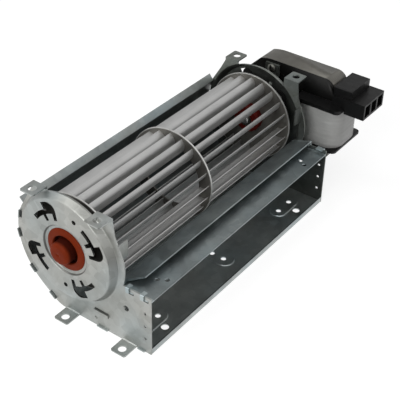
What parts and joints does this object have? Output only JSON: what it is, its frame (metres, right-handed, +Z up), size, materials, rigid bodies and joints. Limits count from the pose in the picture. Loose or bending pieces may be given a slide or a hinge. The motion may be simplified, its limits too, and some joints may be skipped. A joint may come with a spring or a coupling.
{
  "type": "cross flow fan",
  "caption": "Cross flow fan with a galvanised scroll casing, a straight bladed drum impeller and a C frame motor with its plug at one end.",
  "frame": {"origin": "centre of the four base lug holes, on the underside of the base lugs", "axes": "+X along the impeller axis towards the motor, -Y the way the air leaves, +Z up from the base"},
  "size_m": [0.2549, 0.1185, 0.0882],
  "materials": {
    "galvanised_sheet": "satin",
    "impeller_sheet": "satin",
    "shaft_steel": "satin",
    "bearing_bronze": "satin",
    "orange_silicone": "matte",
    "black_rubber": "matte",
    "core_laminations": "satin",
    "copper": "satin",
    "black_nylon": "matte",
    "coil_tape": "matte",
    "tin_plate": "satin"
  },
  "bodies": {
    "casing": {"bearing_end_plate": "galvanised_sheet", "motor_end_plate": "galvanised_sheet", "scroll_casing": "galvanised_sheet", "vortex_tongue": "galvanised_sheet", "rubber_bearing_mount": "orange_silicone", "stub_bearing": "bearing_bronze", "motor_core": "core_laminations", "coil_leg": "core_laminations", "coil_bobbin": "black_nylon", "coil_winding": "copper", "coil_tape": "coil_tape", "shading_rings": "copper", "front_bracket": "galvanised_sheet", "rear_bracket": "galvanised_sheet", "motor_bearings": "bearing_bronze", "bracket_screws": "tin_plate", "mount_grommets": "black_rubber", "mount_sleeves": "shaft_steel", "mount_screws": "tin_plate", "connector_housing": "black_nylon", "connector_tabs": "tin_plate"},
    "rotor": {"impeller_disc_bearing_end": "impeller_sheet", "impeller_ring_middle": "impeller_sheet", "impeller_disc_motor_end": "impeller_sheet", "impeller_blades": "impeller_sheet", "stub_shaft": "shaft_steel", "hub_cushion": "orange_silicone", "hub_sleeve": "shaft_steel", "motor_shaft": "shaft_steel", "motor_rotor": "shaft_steel"}
  },
  "joints": [
    {"name": "impeller_spin", "type": "hinge", "parent": "casing", "child": "rotor", "pos_m": [0, 0.0215, 0.0514], "axis": [1, 0, 0], "continuous": true}
  ]
}
